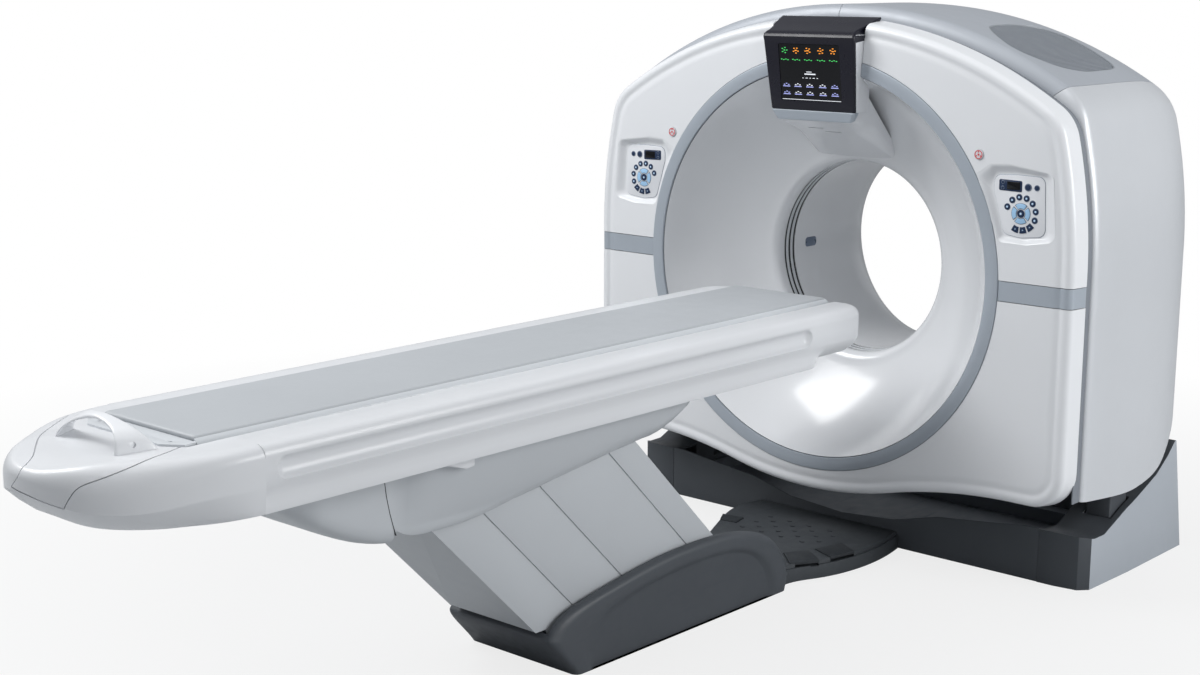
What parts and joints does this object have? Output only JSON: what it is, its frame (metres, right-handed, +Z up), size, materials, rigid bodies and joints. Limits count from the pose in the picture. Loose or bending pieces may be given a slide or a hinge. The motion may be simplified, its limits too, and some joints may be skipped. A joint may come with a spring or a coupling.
{
  "type": "computed tomography scanner",
  "caption": "Medical CT scanner: tilting ring gantry with a round bore on a floor base, and a patient table with sliding cradle on a folding lift, foot pedals in a tray between them.",
  "frame": {"origin": "on the floor, under the centre of the gantry's bore", "axes": "+Y along the bore, away from the patient table; +Z up; +X to the right seen from the table"},
  "size_m": [2.0398, 4.1964, 1.9468],
  "materials": {
    "cover_white": "satin gloss",
    "side_silver": "satin gloss",
    "top_grey": "satin",
    "vent_grey": "perforated, matt",
    "trim_blue_grey": "satin",
    "strip_grey": "matt",
    "base_dark": "satin",
    "tray_dark": "matt",
    "pedal_dark": "matt",
    "display_dark": "gloss",
    "screen_black": "gloss",
    "pod_white": "satin gloss",
    "button_red": "satin gloss",
    "window_dark": "matt",
    "frame_steel": "satin",
    "bearing_steel": "ground",
    "drum_aluminium": "machined",
    "unit_grey": "painted",
    "tube_steel": "painted",
    "slip_brass": "machined",
    "motor_dark": "painted",
    "leg_grey": "painted satin",
    "table_grey": "satin gloss",
    "cradle_light": "satin gloss",
    "mat_grey": "matt vinyl"
  },
  "bodies": {
    "floor_base": {"gantry_base_frame": "frame_steel", "base_front_cover": "base_dark", "base_rear_cover": "base_dark", "base_end_cover_left": "base_dark", "base_end_cover_right": "base_dark", "pivot_stand_left": "frame_steel", "pivot_stand_right": "frame_steel", "tilt_gearmotor": "motor_dark", "floor_anchors": "bearing_steel", "pedal_tray": "tray_dark", "table_base_plate": "frame_steel", "table_base_skirt": "base_dark", "lift_gearmotor": "motor_dark"},
    "pedal_a": {"pedal_front": "pedal_dark"},
    "pedal_b": {"pedal_side": "pedal_dark"},
    "pedal_c": {"pedal_far": "pedal_dark"},
    "tilting_gantry": {"tilt_frame": "frame_steel", "bearing_outer_race": "bearing_steel", "front_cover": "cover_white", "ring_trim": "trim_blue_grey", "front_cone": "cover_white", "scan_window": "window_dark", "window_hoops": "cover_white", "rear_cone": "cover_white", "rear_cover": "cover_white", "side_cover_left": "side_silver", "side_cover_right": "side_silver", "top_cover_left": "top_grey", "top_cover_right": "top_grey", "vent_grilles": "vent_grey", "recess_strip": "strip_grey", "display_housing": "display_dark", "display_screen": "screen_black", "display_lip": "trim_blue_grey", "chin_panel": "cover_white", "front_bands": "trim_blue_grey", "control_pods": "pod_white", "ring_motor": "motor_dark", "brush_block": "window_dark"},
    "stop_left": {"stop_button_left": "button_red"},
    "stop_right": {"stop_button_right": "button_red"},
    "rotor": {"rotor_drum": "drum_aluminium", "bearing_balls": "bearing_steel", "xray_tube": "tube_steel", "collimator": "unit_grey", "detector_arc": "unit_grey", "high_voltage_unit": "unit_grey", "slip_ring": "slip_brass"},
    "arm": {"lift_arm": "frame_steel"},
    "link": {"lift_link": "frame_steel"},
    "leg_1": {"leg_cover_1": "leg_grey"},
    "leg_2": {"leg_cover_2": "leg_grey"},
    "leg_3": {"leg_cover_3": "leg_grey"},
    "leg_4": {"leg_cover_4": "leg_grey"},
    "table": {"saddle": "table_grey", "table_body": "table_grey", "foot_cover": "cover_white", "pull_handle": "cradle_light"},
    "cradle_top": {"cradle": "cradle_light", "mat": "mat_grey"}
  },
  "joints": [
    {"name": "gantry_tilt", "type": "hinge", "parent": "floor_base", "child": "tilting_gantry", "pos_m": [0, 0, 1.038], "axis": [-1, 0, 0], "range_deg": [-22, 22]},
    {"name": "rotor_spin", "type": "hinge", "parent": "tilting_gantry", "child": "rotor", "pos_m": [0, 0, 1.038], "axis": [0, 1, 0], "continuous": true},
    {"name": "stop_press_left", "type": "slide", "parent": "tilting_gantry", "child": "stop_left", "axis": [0, 1, 0], "range_m": [0, 0.003], "stiffness_N_per_m": 1500, "springref_m": -0.002},
    {"name": "stop_press_right", "type": "slide", "parent": "tilting_gantry", "child": "stop_right", "axis": [0, 1, 0], "range_m": [0, 0.003], "stiffness_N_per_m": 1500, "springref_m": -0.002},
    {"name": "press_pedal_a", "type": "hinge", "parent": "floor_base", "child": "pedal_a", "pos_m": [0.1195, -0.7255, 0.061], "axis": [0.4679, 0.8838, 0], "range_deg": [0, 4], "stiffness_Nm_per_rad": 30, "springref_deg": -6.88},
    {"name": "press_pedal_b", "type": "hinge", "parent": "floor_base", "child": "pedal_b", "pos_m": [0.1675, -0.5975, 0.061], "axis": [0.2249, 0.9744, 0], "range_deg": [0, 4], "stiffness_Nm_per_rad": 30, "springref_deg": -6.88},
    {"name": "press_pedal_c", "type": "hinge", "parent": "floor_base", "child": "pedal_c", "pos_m": [-0.263, -0.558, 0.061], "axis": [0.2425, -0.9701, 0], "range_deg": [0, 4], "stiffness_Nm_per_rad": 30, "springref_deg": -6.88},
    {"name": "table_lift", "type": "hinge", "parent": "floor_base", "child": "arm", "pos_m": [0, -1.4, 0.17], "axis": [-1, 0, 0], "range_deg": [-30, 3]},
    {"name": "link_turn", "type": "hinge", "parent": "floor_base", "child": "link", "pos_m": [0, -1.85, 0.13], "axis": [-1, 0, 0], "range_deg": [-30, 3]},
    {"name": "leg_cover_turn_1", "type": "hinge", "parent": "floor_base", "child": "leg_1", "pos_m": [0, -2.044, 0.132], "axis": [-1, 0, 0], "range_deg": [-30, 3]},
    {"name": "leg_cover_turn_2", "type": "hinge", "parent": "floor_base", "child": "leg_2", "pos_m": [0, -1.82, 0.1], "axis": [-1, 0, 0], "range_deg": [-30, 3]},
    {"name": "leg_cover_turn_3", "type": "hinge", "parent": "floor_base", "child": "leg_3", "pos_m": [0, -1.558, 0.102], "axis": [-1, 0, 0], "range_deg": [-30, 3]},
    {"name": "leg_cover_turn_4", "type": "hinge", "parent": "floor_base", "child": "leg_4", "pos_m": [0, -1.232, 0.112], "axis": [-1, 0, 0], "range_deg": [-30, 3]},
    {"name": "table_level", "type": "hinge", "parent": "arm", "child": "table", "pos_m": [0, -1.93033, 0.70033], "axis": [-1, 0, 0], "range_deg": [-3, 30]},
    {"name": "cradle_slide", "type": "slide", "parent": "table", "child": "cradle_top", "axis": [0, 1, 0], "range_m": [0, 1.7]}
  ],
  "couplings": [
    {"joint": "link_turn", "follows": "table_lift", "ratio": 1},
    {"joint": "leg_cover_turn_1", "follows": "table_lift", "ratio": 1},
    {"joint": "leg_cover_turn_2", "follows": "table_lift", "ratio": 1},
    {"joint": "leg_cover_turn_3", "follows": "table_lift", "ratio": 1},
    {"joint": "leg_cover_turn_4", "follows": "table_lift", "ratio": 1},
    {"joint": "table_level", "follows": "table_lift", "ratio": -1}
  ]
}
